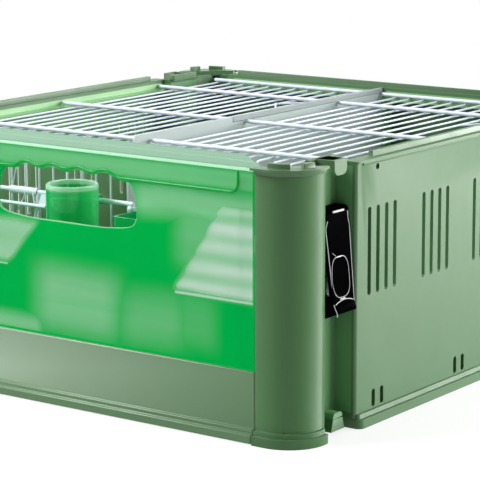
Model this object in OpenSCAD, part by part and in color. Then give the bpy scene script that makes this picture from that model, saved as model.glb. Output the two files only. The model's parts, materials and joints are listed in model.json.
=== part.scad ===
// Stackable wire-topped pet keeper: four moulded corner columns carry the walls, a litter tray
// slides out under a lift-out clear front, and two wire roof halves rest either side of a divider.
// Millimetres, +Z up, X to the right along the front, Y to the back, origin under the middle.

/* [Body] */
// Width over the side walls
body_w = 357; // [300:1:420]
// Depth over the front and rear columns
body_d = 384; // [340:1:460]
// Height to the top of the side rails
rail_z = 172.5; // [155:0.5:230]
// Thickness of the moulded walls
wall_t = 3; // [2:0.5:4]
// Radius of the corner columns
corner_r = 22; // [18:0.5:26]
// Length of the flat inner side of a column, beside its round side
corner_flat = 9.7; // [6:0.1:14]
// Distance from the front face to the back of a column
column_run = 34; // [30:0.5:40]
// Depth of a column's inner side; behind it the corner opens to the web
column_in_run = 9; // [8:0.5:12]
// Distance from the front face to the start of a side wall
wall_run = 63; // [60:1:75]
// Depth of the groove between a column and a side wall
groove_depth = 15.5; // [13:0.5:18]

/* [Rims and feet] */
// Width of the flat rim on top of a wall
rim_w = 8; // [7:0.5:12]
// Thickness of that rim
rim_t = 3; // [2:0.5:4]
// Thickness of the plate on top of the rim
rim_plate_t = 1.5; // [1:0.1:2]
// How far the rim stands out of a side wall
rim_out = 0.8; // [0.4:0.1:1.5]
// Length of the rim's plain plate at each end
rim_end = 7; // [4:0.5:12]
// Radius of the upright edges at the ends of a side wall
edge_r = 2.2; // [1:0.1:2.8]
// Height of the raised rail above the rim
rail_h = 3.5; // [2:0.5:6]
// Thickness of the raised rail
rail_t = 3; // [2:0.5:4]
// Distance from a wall's outer face in to its rail
rail_inset = 4; // [2:0.5:5]
// Distance from the front end of a side wall to the end of its rail
rail_gap = 24.5; // [12:0.5:40]
// Distance from the rear end of a side wall to the end of its rail
rail_back_gap = 15.5; // [12:0.5:40]
// Distance from a column to the end of the rear rail
rear_rail_gap = 8; // [4:0.5:20]
// Thickness of the skirt and ledge that carry the roof inside a wall
ledge_t = 2; // [1.5:0.5:3]
// Width of the ledge that the bar ends rest on
ledge_w = 3; // [2:0.5:4]
// How far the foot moulding stands out
foot_out = 4.4; // [2:0.2:6]
// Height of the lower step of the foot moulding
foot_h = 6; // [3:0.5:7]
// Height of both steps of the foot moulding
foot_top = 9; // [8:0.5:12]
// Distance from a column's back to the end of its foot moulding
foot_stop = 7; // [4:0.5:12]

/* [Vents] */
// Width of a vent slot
vent_w = 3.9; // [2:0.1:4.4]
// Height of the bottom of the long slots
vent_z0 = 83; // [70:1:90]
// Length of the long slots
vent_len = 56; // [30:1:60]
// Distance between slots of a group
vent_pitch = 9.9; // [8:0.1:12]
// Distance from the end of a side wall to the middle of its outer slot group
vent_inset = 32; // [30:0.5:38]
// Distance from a column to the middle of the rear wall's outer slot group
rear_vent_inset = 49; // [36:1:54]
// How much lower the rear wall's long slots sit
rear_vent_drop = 14; // [0:1:20]
// Number of slots in a group
vent_count = 4; // [2:1:4]
// Shift of the side vents towards the front
vent_shift = 2; // [0:0.5:6]
// Height of the bottom of the short drain slots
drain_z0 = 10; // [10:0.5:20]
// Length of the short drain slots
drain_len = 11.5; // [8:0.5:18]
// Distance from the end of a side wall to the middle of its outer pair of drain slots
drain_inset = 28; // [22:1:36]
// Radius of the small hole near the top of a side wall
side_hole_r = 2; // [1.5:0.1:3]
// Distance of that hole in front of the middle
side_hole_y = 105; // [95:1:112]
// Distance of that hole below the rail top
side_hole_drop = 9.2; // [8.6:0.1:14]

/* [Column caps] */
// Distance from the rail top down to the bottom of a cap
cap_drop = 5.2; // [4:0.1:8]
// Thickness of the cap flange
cap_t = 1.5; // [1:0.1:3]
// Height of the bead under the cap flange
cap_bead_h = 2.4; // [1.5:0.1:4]
// How far the cap flange stands out
cap_out = 3.2; // [1.5:0.1:4]
// How far the bead stands out
cap_bead_out = 1.4; // [0.5:0.1:2]
// Height of the crown lugs
crown_h = 3; // [2:0.1:4]
// Outer radius of the crown lugs
crown_r = 19.4; // [16:0.1:20]
// Radial thickness of the crown lugs
crown_t = 3.6; // [3:0.1:4]
// Angle that the long crown lug takes
crown_long = 44; // [30:1:46]
// Angle that the short crown lug takes
crown_short = 26; // [18:1:30]
// Angle from the corner's diagonal to the middle of a crown lug
crown_side = 30; // [26:1:32]
// Distance from the front face to the back edge of a cap at its inner end
cap_edge = 2; // [1:0.5:4]
// Distance from a column's back to the cap's back edge at its outer end
cap_corner = 3; // [2:0.5:6]
// Clearance between a crown and the recess of the unit above
crown_gap = 0.7; // [0.4:0.1:1.2]

/* [Stack catches] */
// Height of the catch's side plates
catch_h = 5; // [3:0.2:6]
// Thickness of the catch's side plates and floor
catch_t = 1.6; // [1.2:0.1:2.4]
// Width of the hanging tab
tab_w = 14; // [10:0.2:18]
// Drop of the tab below the rail top
tab_drop = 9.8; // [8:0.2:14]
// Distance from a wall's outer face in to the tab
tab_inset = 2; // [1:0.5:6]
// Thickness of the tab and of the arm that carries it
tab_t = 2.4; // [2:0.2:3]
// Width of the bottom lug
lug_w = 15; // [12:0.5:18]
// Width of the top of the bottom lug
lug_top_w = 10; // [8:0.5:12]
// Height of the top of the bottom lug
lug_top = 13.5; // [11:0.5:18]
// Height of the underside of the bottom lug
lug_z0 = 2; // [1:0.5:4]
// Depth of the bottom lug out of the groove floor
lug_d = 12.2; // [6:0.2:14]

/* [Latches] */
// Width of a latch lever
lever_w = 23.6; // [14:0.2:24]
// Thickness of the lever plate
lever_t = 2; // [1.5:0.1:2.6]
// Length of the lever below its pin
lever_len = 59.5; // [50:0.5:66]
// Distance from the rail top down to the lever pin
latch_drop = 33.5; // [30:0.5:45]
// Radius of the lever pin
latch_pin_r = 1.5; // [1:0.1:2]
// Running clearance of a pin
pin_gap = 0.06; // [0.02:0.01:0.1]
// Distance of the lever pin out of the groove floor
latch_pin_out = 7; // [6.5:0.1:9]
// How far the foot of the lever leans out
lever_lean = 6.5; // [0:0.5:8]
// How far the latch base reaches below the lever's foot
latch_base_drop = 8; // [0:0.5:10]
// Thickness of the latch base plate
latch_base_t = 2.2; // [1.5:0.1:2.5]
// Length of the hook that hangs behind the lever
hook_len = 34; // [20:1:40]
// Width of that hook
hook_w = 8; // [5:0.5:9]

/* [Roof wires] */
// Diameter of the long roof wires
wire_d = 1.7; // [1.5:0.1:2.4]
// Diameter of the cross bars
bar_d = 3; // [2.4:0.1:3.6]
// Distance between wires
wire_pitch = 12.5; // [11:0.1:14]
// Distance from the middle to the first wire
wire_first = 15; // [12:0.5:18]
// Depth of the bars' axis below the rail top
bar_drop = 8.1; // [7.5:0.1:10]
// Place of the first cross bar, in front of the middle
bar1_run = 107; // [100:1:112]
// Place of the second cross bar, behind the middle
bar2_run = 2; // [-20:1:20]
// Place of the third cross bar, behind the middle
bar3_run = 119; // [90:1:122]
// Distance from the rear skirt to the fourth cross bar
bar4_gap = 4; // [2:0.5:8]
// Distance from the front face to the wire front grille
grille_run = 62.5; // [60:0.5:66]
// Bend radius of the wires
bend_r = 5; // [4:0.5:10]
// Depth that crossing wires are welded into each other
weld = 0.3; // [0.2:0.1:0.5]
// Gap between a lift-off piece and what it rests on
rest_gap = 0.3; // [0.2:0.1:0.5]

/* [Divider] */
// Thickness of the divider sheet
divider_t = 2.4; // [1.5:0.1:4]
// Distance from the front face to the front edge of the sheet above the roof
divider_run = 68; // [66:1:80]
// Width of the strip along the top of the sheet
strip_w = 2.8; // [2.6:0.1:5]
// Height of that strip
strip_h = 4; // [2:0.5:5]
// Distance from the front face to the front end of the strip
strip_run = 178; // [120:1:200]

/* [Clear front] */
// Thickness of the clear front
clear_t = 2.5; // [2:0.5:3]
// Height of the top of the litter tray's front
tray_front_z = 45; // [42:0.5:60]
// Distance from the rail top down to the top of the clear front
clear_drop = 2.2; // [1.5:0.1:4]
// Edge radius along the top of the clear front
clear_edge_r = 2.2; // [1:0.1:3]
// Depth of the flange on top of the clear front
flange_d = 47; // [40:1:50]
// Distance from the front face to the step in that flange
flange_step = 24; // [15:1:35]
// Size of the cut off each rear corner of the flange
flange_cut = 39; // [30:1:40]
// Half the width of the hand hole
hole_hw = 58.5; // [50:0.5:64]
// Shift of the hand hole and grip to the left of the middle
grip_shift = 1.5; // [0:0.5:4]
// Distance from the rail top down to the lower edge of the hand hole
hole_drop = 51.7; // [45:0.1:60]
// Distance from the rail top down to the straight part of the grip bead
bead_drop = 17.7; // [15:0.1:22]
// Distance between finger scallops
finger_pitch = 22; // [20:0.5:24]
// Height of the grip bead
bead_w = 1.8; // [1.2:0.1:3]
// How far the grip bead stands out of the clear front
bead_out = 0.8; // [0.4:0.1:1.5]
// Distance from the side edge to the upright part of the grip bead
bead_inset = 12; // [8:0.5:20]
// Gap between a panel and what it slides past
slide_gap = 0.4; // [0.3:0.05:0.8]

/* [Tray] */
// Wall thickness of the litter tray
tray_t = 2; // [1.5:0.5:3]
// Height of the tray's side walls
tray_wall_z = 42; // [30:0.5:42]
// Height of the floor plate under the tray
floor_t = 3; // [2:0.5:4]
// Thickness of the decks and guides beside the tray
deck_t = 2; // [1.5:0.5:3]

/* [Feeding bay] */
// Outer radius of the drinking cup
cup_r = 17.4; // [12:0.1:18]
// Height of the drinking cup
cup_h = 54; // [30:1:60]
// Wall of the cup and the dish
cup_t = 1.6; // [1.2:0.1:3]
// Distance of the cup's axis to the left of the middle
cup_left = 21.6; // [20:0.2:40]
// Distance from the rail top down to the cup's rim
cup_drop = 31.5; // [29:0.5:36]
// Diameter of the cross rods
rod_d = 3.2; // [2.4:0.1:4]
// Distance from the rail top down to the upper cross rod
rod_drop = 45; // [43:0.5:60]
// Distance from the front grille forward to the cross rods
rod_stand = 10; // [6:0.5:12]
// Width of the food dish
dish_w = 62; // [40:1:80]
// Depth of the food dish from front to back
dish_d = 24; // [18:1:28]
// Height of the food dish
dish_h = 38; // [20:1:45]
// Distance of the dish's left side to the right of the middle
dish_right = 16.4; // [8:0.2:30]
// Width of the dish's hook
dish_hook_w = 20; // [12:1:30]
// Width of the cup's hook
cup_hook_w = 13; // [8:1:18]
// Height of the posts that hold the foot of the divider
post_h = 12; // [6:0.5:16]
// Distance of the upper rod's sleeve to the left of the middle
sleeve_left = 68; // [50:1:80]
// Length of that sleeve
sleeve_l = 24; // [10:1:30]
// Drop from the left rod to the short rod under it
low_rod_drop = 8.6; // [6:0.1:12]
// Distance from the middle to the inner end of the short rod
low_rod_end = 58; // [40:1:80]
// Length of the brace between the two rods
brace_l = 6; // [4:0.5:10]

/* [Hidden] */
$fn = 64;

SAGE = "#8fa78f";
CLEAR = [0.10, 0.72, 0.38, 0.55];
WIRE = "#dfe4ee";
GREY = "#adb2b6";
BLACK = "#15171a";
STEEL = "#c9ccd0";

hx = body_w / 2;
hy = body_d / 2;
col_x = hx - corner_r;
col_y = hy - corner_r;
col_in = col_x - corner_flat;
col_back = hy - column_run;
wall_end = hy - wall_run;
groove_x = hx - groove_depth;
groove_mid = (col_back + wall_end) / 2;
rim_z = rail_z - rail_h;
cap_z0 = rail_z - cap_drop;
cap_z1 = cap_z0 + cap_bead_h + cap_t;
notch_x = groove_x - wall_t;
notch_y = -hy + column_in_run;
catch_z0 = rail_z - catch_h;
side_group = (wall_end - vent_inset) * 2 / 3;
rear_group = (col_in - rear_vent_inset) * 2 / 3;
drain_pitch = wall_end - drain_inset;

bar_z = rail_z - bar_drop;
wire_z = bar_z - (bar_d + wire_d) / 2 + weld;
ledge_z = bar_z - bar_d / 2 - rest_gap;
rear_ledge_z = wire_z - wire_d / 2 - rest_gap;
skirt_x = hx - rim_w - ledge_t;
skirt_y = hy - rim_w - ledge_t;
bar_end = skirt_x - rest_gap;
bar_start = strip_w / 2 + rest_gap;
bar4_y = skirt_y - bar4_gap;
// Where the back edge of a rear cap crosses the rear face of the fourth bar
cap_slope = (column_run - cap_edge - cap_corner) / (corner_r + corner_flat);
rear_bar_end = col_in + (hy - cap_edge - bar4_y - bar_d / 2) / cap_slope - 2 * rest_gap;
grille_y = -hy + grille_run;
roof_count = floor((bar_end - ledge_w - wire_d / 2 - wire_first) / wire_pitch) + 1;
front_count = floor((col_in - 4 - wire_first) / wire_pitch) + 1;
rear_count = floor((col_in - 2 - wire_first) / wire_pitch) + 1;

sill_t = 2.4;
sill_z = tray_wall_z + 2.4;
sill_top = sill_z + sill_t;
sill_d = 9;
jamb_in = col_in - 3.8;
clear_z0 = tray_front_z + 0.6;
clear_z1 = rail_z - clear_drop;
panel_hw = col_in - slide_gap;
bead_z = rail_z - bead_drop;
hole_z = rail_z - hole_drop;

pin_x = groove_x + latch_pin_out;
pin_z = rail_z - latch_drop;
lever_barrel = latch_pin_r + 1.7;
hook_x = -2.5;
hook_z = -18;
hook_pin_r = 1;
ear_t = 1.5;

rod_z = rail_z - rod_drop;
rod_y = grille_y - wire_d / 2 - rod_stand - rod_d / 2;
cup_back = rod_y - rod_d / 2 - slide_gap;
cup_y = cup_back - cup_r;
cup_z1 = rail_z - cup_drop;
dish_x0 = dish_right;
dish_z1 = rod_z - 3.6;

// Places what is drawn for the front right corner at any of the four corners.
module corner(sx, sy) {
  mirror([sx < 0 ? 1 : 0, 0, 0]) mirror([0, sy > 0 ? 1 : 0, 0]) children();
}

module both_sides() {
  children();
  mirror([1, 0, 0]) children();
}

module all_corners() {
  for (sx = [-1, 1]) for (sy = [-1, 1]) corner(sx, sy) children();
}

// A rod from p along one axis.
module rod_x(p, d, l) { translate(p) rotate([0, 90, 0]) cylinder(d = d, h = l); }
module rod_y(p, d, l) { translate(p) rotate([-90, 0, 0]) cylinder(d = d, h = l); }
module rod_z(p, d, l) { translate(p) cylinder(d = d, h = l); }

// An upright slot in the XY plane, with round ends.
module slot(w, l) {
  translate([-w / 2, w / 2]) square([w, l - w]);
  translate([0, w / 2]) circle(d = w);
  translate([0, l - w / 2]) circle(d = w);
}

module rounded(w, l, r) {
  translate([r, 0]) square([w - 2 * r, l]);
  translate([0, r]) square([w, l - 2 * r]);
  for (x = [r, w - r]) for (y = [r, l - r]) translate([x, y]) circle(r = r);
}

// Columns

module column_outline(grow, side, back) {
  difference() {
    intersection() {
      union() {
        translate([col_x, -col_y]) circle(r = corner_r + grow);
        translate([col_in - side, -hy - grow]) square([corner_flat + side, 2 * (corner_r + grow)]);
      }
      translate([col_in - side, -hy - grow])
        square([corner_flat + corner_r + grow + side, column_run + grow + back]);
    }
    translate([col_in - side - 1, notch_y + back])
      square([notch_x - back - col_in + side + 1, column_run]);
  }
}

// The part of a column that its cap covers, in front of a slanting line.
module cap_outline(grow) {
  intersection() {
    union() {
      translate([col_x, -col_y]) circle(r = corner_r + grow);
      translate([col_in, -hy - grow]) square([corner_flat, corner_r + grow]);
    }
    polygon([[col_in, -hy - grow], [hx + grow, -hy - grow], [hx + grow, -col_back - cap_corner],
             [hx, -col_back - cap_corner], [col_in, -hy + cap_edge]]);
  }
}

module sector(r0, r1, mid, deg) {
  translate([col_x, -col_y]) intersection() {
    difference() {
      circle(r = r1);
      circle(r = r0);
    }
    polygon([[0, 0], for (i = [-1:1]) 2 * r1 * [cos(mid + i * deg / 2), sin(mid + i * deg / 2)]]);
  }
}

module column() {
  color(SAGE) difference() {
    union() {
      linear_extrude(cap_z0) column_outline(0, 0, 0);
      linear_extrude(foot_top) column_outline(foot_out / 2, 0, -foot_stop);
      linear_extrude(foot_h) column_outline(foot_out, 0, -foot_stop);
    }
    translate([0, 0, crown_h + crown_gap + wall_t]) linear_extrude(rail_z)
      column_outline(-wall_t, -wall_t, -wall_t);
    translate([0, 0, -1]) linear_extrude(crown_h + crown_gap + 1)
      sector(crown_r - crown_t - crown_gap, crown_r + crown_gap, -45,
             2 * crown_side + crown_long + 6);
  }
}

module column_front_left() { corner(-1, -1) column(); }
module column_front_right() { corner(1, -1) column(); }
module column_rear_left() { corner(-1, 1) column(); }
module column_rear_right() { corner(1, 1) column(); }

module cap() {
  lip = 1.6;
  cover_t = 1;
  color(SAGE) union() {
    translate([0, 0, cap_z0]) linear_extrude(cover_t) column_outline(0, 0, 0);
    translate([0, 0, cap_z0]) linear_extrude(cap_bead_h) cap_outline(cap_bead_out);
    translate([0, 0, cap_z1 - cap_t]) linear_extrude(cap_t) {
      cap_outline(cap_out);
      translate([col_in - lip, -hy - cap_out]) square([lip, cap_out - bead_out]);
    }
    translate([0, 0, cap_z1]) linear_extrude(crown_h) {
      sector(crown_r - crown_t, crown_r, -45 - crown_side, crown_long);
      sector(crown_r - crown_t, crown_r, -45 + crown_side, crown_short);
    }
  }
}

module cap_front_left() { corner(-1, -1) cap(); }
module cap_front_right() { corner(1, -1) cap(); }
module cap_rear_left() { corner(-1, 1) cap(); }
module cap_rear_right() { corner(1, 1) cap(); }

// Groove floor behind a column, with the jamb that closes the feeding bay.
module web() {
  deck_top = sill_z;
  jamb_y = grille_y + wire_d / 2 + slide_gap;
  color(SAGE) union() {
    translate([notch_x, -col_back, 0])
      cube([wall_t, col_back + max(wall_t - wall_end, jamb_y + wall_t), catch_z0]);
    translate([jamb_in, jamb_y, deck_top])
      cube([groove_x - jamb_in, wall_t, ledge_z - ledge_t - deck_top]);
  }
}

module web_front_left() { corner(-1, -1) web(); }
module web_front_right() { corner(1, -1) web(); }
module web_rear_left() { corner(-1, 1) web(); }
module web_rear_right() { corner(1, 1) web(); }

// Walls

module vent_slots(count, pitch, z0, l) {
  for (i = [0:count - 1]) translate([(i - (count - 1) / 2) * pitch, z0]) slot(vent_w, l);
}

module wall_slots(groups, z0) {
  for (g = groups) translate([g, 0]) vent_slots(vent_count, vent_pitch, z0, vent_len);
}

// A strip along a side wall, from x0 out to x1, with its outer corners rounded.
module wall_strip(x0, x1) {
  translate([x0, -wall_end]) square([x1 - x0 - edge_r, 2 * wall_end]);
  translate([x1 - 2 * edge_r, edge_r - wall_end]) square([2 * edge_r, 2 * (wall_end - edge_r)]);
  for (s = [-1, 1]) translate([x1 - edge_r, s * (wall_end - edge_r)]) circle(r = edge_r);
}

// One step of the foot moulding along a side wall, with round ends.
module foot_step(h, out, inset) {
  l = 2 * (wall_end - inset);
  translate([hx, inset - wall_end, 0]) linear_extrude(h) {
    translate([-edge_r, 0]) square([edge_r, l]);
    translate([0, out]) square([out, l - 2 * out]);
    intersection() {
      for (y = [out, l - out]) translate([0, y]) circle(r = out);
      square([out, l]);
    }
  }
}

module side_wall() {
  g = side_group;
  rail_front = wall_end - rail_gap;
  rail_back = wall_end - rail_back_gap;
  band_end = wall_end - rim_end;
  color(SAGE) difference() {
    union() {
      linear_extrude(rim_z) difference() {
        wall_strip(groove_x, hx);
        translate([groove_x - 1, wall_t - wall_end])
          square([groove_depth - wall_t + 1, 2 * (wall_end - wall_t)]);
      }
      translate([hx - rim_w, wall_t - wall_end, rim_z - rim_t])
        cube([rim_w - wall_t, 2 * (wall_end - wall_t), rim_t]);
      translate([0, 0, rim_z - rim_plate_t]) linear_extrude(rim_plate_t)
        wall_strip(hx - rim_w, hx + rim_out);
      translate([hx - wall_t, -band_end, rim_z - rim_t])
        cube([wall_t + rim_out, 2 * band_end, rim_t]);
      translate([skirt_x, wall_t - wall_end, ledge_z - ledge_t])
        cube([ledge_t, 2 * (wall_end - wall_t), rim_z - ledge_z + ledge_t]);
      translate([skirt_x - ledge_w, wall_t - wall_end, ledge_z - ledge_t])
        cube([ledge_w, 2 * (wall_end - wall_t), ledge_t]);
      translate([hx - rail_inset - rail_t, -rail_front, rim_z])
        cube([rail_t, rail_front + rail_back, rail_h]);
      foot_step(foot_h, foot_out, 0);
      foot_step(foot_top, foot_out / 2, 1);
    }
    translate([hx + 1, 0, 0]) rotate([90, 0, -90]) mirror([1, 0, 0]) linear_extrude(wall_t + 2) {
      wall_slots([-1.5 * g - vent_shift, -0.5 * g - vent_shift, 0.5 * g - vent_shift,
                  1.5 * g - vent_shift], vent_z0);
      for (k = [-1:1]) translate([k * drain_pitch - vent_shift, 0])
        vent_slots(2, vent_pitch, drain_z0, drain_len);
    }
    rod_x([hx - wall_t - 1, -side_hole_y, rail_z - side_hole_drop], 2 * side_hole_r, wall_t + 2);
  }
}

module left_wall() { mirror([1, 0, 0]) side_wall(); }
module right_wall() { side_wall(); }

module rear_wall() {
  g = rear_group;
  rail_hw = col_in - rear_rail_gap;
  divider_slot = divider_t + 2 * slide_gap;
  rest_z = sill_z - 1;
  color(SAGE) difference() {
    union() {
      translate([-col_in, hy - wall_t, 0]) cube([2 * col_in, wall_t, rim_z]);
      translate([-col_in, hy - rim_w, rim_z - rim_t]) cube([2 * col_in, rim_w, rim_t]);
      translate([-col_in, skirt_y, rear_ledge_z - ledge_t])
        cube([2 * col_in, ledge_t, rim_z - rear_ledge_z + ledge_t]);
      translate([-col_in, skirt_y - ledge_w, rear_ledge_z - ledge_t])
        cube([2 * col_in, ledge_w, ledge_t]);
      translate([-rail_hw, hy - rail_inset - rail_t, rim_z]) cube([2 * rail_hw, rail_t, rail_h]);
      translate([-col_in, hy, 0]) cube([2 * col_in, foot_out, foot_h]);
      translate([-col_in, hy, 0]) cube([2 * col_in, foot_out / 2, foot_top]);
      translate([-divider_slot / 2 - wall_t, skirt_y - ledge_w, rest_z])
        cube([divider_slot + 2 * wall_t, hy - wall_t - skirt_y + ledge_w,
              rear_ledge_z - ledge_t - rest_z]);
    }
    translate([0, hy + 1, 0]) rotate([90, 0, 0]) linear_extrude(wall_t + 2)
      wall_slots([-1.5 * g, -0.5 * g, 0.5 * g, 1.5 * g], vent_z0 - rear_vent_drop);
    translate([-divider_slot / 2, skirt_y - ledge_w - 1, sill_top])
      cube([divider_slot, ledge_w + 1, rail_z]);
  }
}

// Base, decks and sill

module base_floor() {
  color(SAGE) linear_extrude(floor_t) union() {
    translate([wall_t - hx, wall_t - wall_end])
      square([2 * (hx - wall_t), 2 * (wall_end - wall_t)]);
    translate([-notch_x, notch_y]) square([2 * notch_x, -2 * notch_y]);
    translate([-col_in, clear_t + slide_gap - hy]) square([2 * col_in, body_d - wall_t - clear_t
                                                           - slide_gap]);
  }
}

module side_deck() {
  guide_x = col_in + slide_gap;
  deck_top = sill_z;
  color(SAGE) union() {
    translate([guide_x, notch_y, floor_t]) cube([deck_t, -2 * notch_y, deck_top - floor_t]);
    translate([guide_x, notch_y, deck_top - deck_t])
      cube([notch_x - guide_x, -2 * notch_y, deck_t]);
    translate([guide_x, wall_t - wall_end, deck_top - deck_t])
      cube([hx - wall_t - guide_x, 2 * (wall_end - wall_t), deck_t]);
  }
}

module side_deck_left() { mirror([1, 0, 0]) side_deck(); }
module side_deck_right() { side_deck(); }

module front_sill() {
  post_x = divider_t / 2 + slide_gap;
  color(SAGE) union() {
    translate([-col_in - slide_gap, grille_y - sill_d / 2, sill_z])
      cube([2 * (col_in + slide_gap), sill_d / 2 + wire_d / 2 + slide_gap, sill_t]);
    translate([-jamb_in, grille_y, sill_z]) cube([2 * jamb_in, sill_d / 2, sill_t]);
    both_sides() translate([post_x, grille_y - sill_d / 2, sill_top]) cube([deck_t, sill_d, post_h]);
  }
}

module panel_guides() {
  guide_t = 2;
  y0 = -hy + clear_t + slide_gap;
  foot_z = clear_z0 + 6;
  color(SAGE) both_sides() union() {
    translate([col_in - 10.4, y0, clear_z0 + 1])
      cube([10.4, guide_t, clear_z1 - 2 * clear_edge_r - slide_gap - 1 - clear_z0]);
    translate([col_in - 10.4, y0 + guide_t, foot_z - 3]) cube([10.4, 4, 3 - rest_gap]);
  }
}

function flange_t() = 2.3;

// Stacking catches and lugs

module catch_one() {
  r = 4.5;
  reach = hx - tab_inset - groove_x;
  y0 = -groove_mid - tab_w / 2;
  union() {
    translate([notch_x, -col_back, catch_z0]) cube([wall_t, col_back - wall_end, catch_h]);
    for (y = [y0, y0 + tab_w - catch_t]) translate([groove_x - 1, y, catch_z0])
      cube([reach + 1, catch_t, catch_h]);
    translate([groove_x - 1, y0, catch_z0]) cube([reach + 1, tab_w, catch_t]);
    translate([groove_x + reach - tab_t, y0, rail_z - tab_drop])
      rotate([90, 0, 90]) linear_extrude(tab_t) {
        translate([0, r]) square([tab_w, tab_drop - r]);
        translate([r, 0]) square([tab_w - 2 * r, r]);
        for (y = [r, tab_w - r]) translate([y, r]) circle(r = r);
      }
  }
}

module stack_catches() { color(SAGE) all_corners() catch_one(); }

module stack_lugs() {
  r = 2.5;
  h = lug_top - lug_z0;
  in = (lug_w - lug_top_w) / 2;
  slot_h = 0.8;
  color(SAGE) all_corners()
    translate([groove_x, -groove_mid - lug_w / 2, lug_z0]) rotate([90, 0, 90]) difference() {
      linear_extrude(lug_d)
        polygon(concat([[0, 0], [lug_w, 0]],
                       [for (a = [0:22.5:90]) [lug_w - in - r + r * cos(a), h - r + r * sin(a)]],
                       [for (a = [90:22.5:180]) [in + r + r * cos(a), h - r + r * sin(a)]]));
      translate([in, h - 4, lug_d - 1]) cube([lug_top_w, slot_h, 2]);
    }
}

// Toggle latches

module at_latch() { translate([pin_x, -groove_mid, pin_z]) children(); }

module latch_base() {
  ear_y = lever_w / 2 + slide_gap;
  ear_r = latch_pin_r + 1.7;
  top = ear_r;
  base_l = lever_len + latch_base_drop;
  at_latch() difference() {
    union() {
      translate([-latch_pin_out, -ear_y - ear_t, -base_l])
        cube([latch_base_t, 2 * (ear_y + ear_t), base_l + top]);
      for (y = [-ear_y - ear_t, ear_y]) {
        translate([-latch_pin_out, y, -ear_r]) cube([latch_pin_out, ear_t, 2 * ear_r]);
        rod_y([0, y, 0], 2 * ear_r, ear_t);
      }
    }
    rod_y([0, -ear_y - ear_t - 1, 0], 2 * latch_pin_r, 2 * (ear_y + ear_t + 1));
  }
}

module latch_bases() { color(BLACK) all_corners() latch_base(); }

module latch_pins() {
  l = lever_w + 2 * (slide_gap + ear_t);
  color(STEEL) all_corners() at_latch() rod_y([0, -l / 2, 0], 2 * latch_pin_r, l);
}

module lever() {
  foot = 5;
  z1 = foot - lever_len;
  edge = 1.2;
  reach = 0.4 + lever_lean * hook_z / z1 + lever_t / 2 - hook_x;
  color(BLACK) at_latch() difference() {
    union() {
      rod_y([0, -lever_w / 2, 0], 2 * lever_barrel, lever_w);
      translate([0, lever_w / 2, 0]) rotate([90, 0, 0]) linear_extrude(lever_w)
        polygon([[0.4, 0], [0.4 + lever_t, 0], [0.4 + lever_t + lever_lean, z1],
                 [2.4 + lever_t + lever_lean, -lever_len], [0.8 + lever_lean, -lever_len],
                 [0.4 + lever_lean, z1]]);
      for (y = [-lever_w / 2 + edge, lever_w / 2]) translate([0, y, 0]) rotate([90, 0, 0])
        linear_extrude(edge)
          polygon([[0.4, 0], [lever_t + 1.4, 0], [lever_t + 1.2 + lever_lean, z1],
                   [0.4 + lever_lean, z1]]);
      for (y = [-hook_w / 2 - slide_gap - 1.6, hook_w / 2 + slide_gap]) translate([0, y, 0]) {
        translate([hook_x, 0, hook_z - 1.8]) cube([reach, 1.6, 3.6]);
        rod_y([hook_x, 0, hook_z], 3.6, 1.6);
      }
      rod_y([hook_x, -hook_w / 2 - slide_gap - 1, hook_z], 2 * hook_pin_r,
            hook_w + 2 * (slide_gap + 1));
    }
    rod_y([0, -lever_w / 2 - 1, 0], 2 * (latch_pin_r + pin_gap), lever_w + 2);
  }
}

module lever_front_left() { corner(-1, -1) lever(); }
module lever_front_right() { corner(1, -1) lever(); }
module lever_rear_left() { corner(-1, 1) lever(); }
module lever_rear_right() { corner(1, 1) lever(); }

module hook() {
  color(STEEL) at_latch() translate([hook_x, 0, hook_z]) difference() {
    union() {
      rod_y([0, -hook_w / 2, 0], 2 * (hook_pin_r + 0.8), hook_w);
      translate([-0.7, -hook_w / 2, -hook_len]) cube([1.4, hook_w, hook_len - hook_pin_r]);
      translate([-0.7, -hook_w / 2, -hook_len]) cube([3, hook_w, 1.4]);
    }
    rod_y([0, -hook_w / 2 - 1, 0], 2 * (hook_pin_r + pin_gap), hook_w + 2);
  }
}

module hook_front_left() { corner(-1, -1) hook(); }
module hook_front_right() { corner(1, -1) hook(); }
module hook_rear_left() { corner(-1, 1) hook(); }
module hook_rear_right() { corner(1, 1) hook(); }

// Clear front

// Height of the grip bead over the straight part, at x from the middle of the grip.
function grip(x) =
  let (w = 1.5 * finger_pitch, run = 12, mean = 2.9, amp = 1.05, a = abs(x))
  a < w ? mean - amp * cos(360 * x / finger_pitch)
        : a < w + run ? (mean + amp) * (1 + cos(180 * (a - w) / run)) / 2 : 0;

function bead_line(d) =
  let (r = 6, bx = panel_hw - bead_inset + grip_shift)
  [[-bx + 2 * grip_shift - d, clear_z1 - 1],
   for (a = [0:30:90]) [-bx + 2 * grip_shift + r - (r + d) * cos(a), bead_z + r - (r + d) * sin(a)],
   for (i = [-18:18]) [i * finger_pitch / 8, bead_z - d + grip(i * finger_pitch / 8)],
   for (a = [90:-30:0]) [bx - r + (r + d) * cos(a), bead_z + r - (r + d) * sin(a)],
   [bx + d, clear_z1 - 1]];

function reversed(v) = [for (i = [len(v) - 1:-1:0]) v[i]];

function hole_side(s) =
  let (low = hole_z - bead_z)
  [for (p = [[11.5, -1.3], [6.3, -1.7], [3.6, -4], [2.2, -7], [0.9, -12.6], [0, -20],
             [0.3, low + 9], [2, low + 5.6], [4.6, low + 3.6], [8.5, low + 2.6],
             [16, low + 1.6], [26, low + 0.7], [40, low + 0.2]])
     [s * (hole_hw - p[0]), bead_z + p[1]]];

function hole_line() =
  concat([for (i = [-16:16]) [i * finger_pitch / 8, bead_z - 1.2 + grip(i * finger_pitch / 8)]],
         hole_side(1), [[0, hole_z]], reversed(hole_side(-1)));

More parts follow.
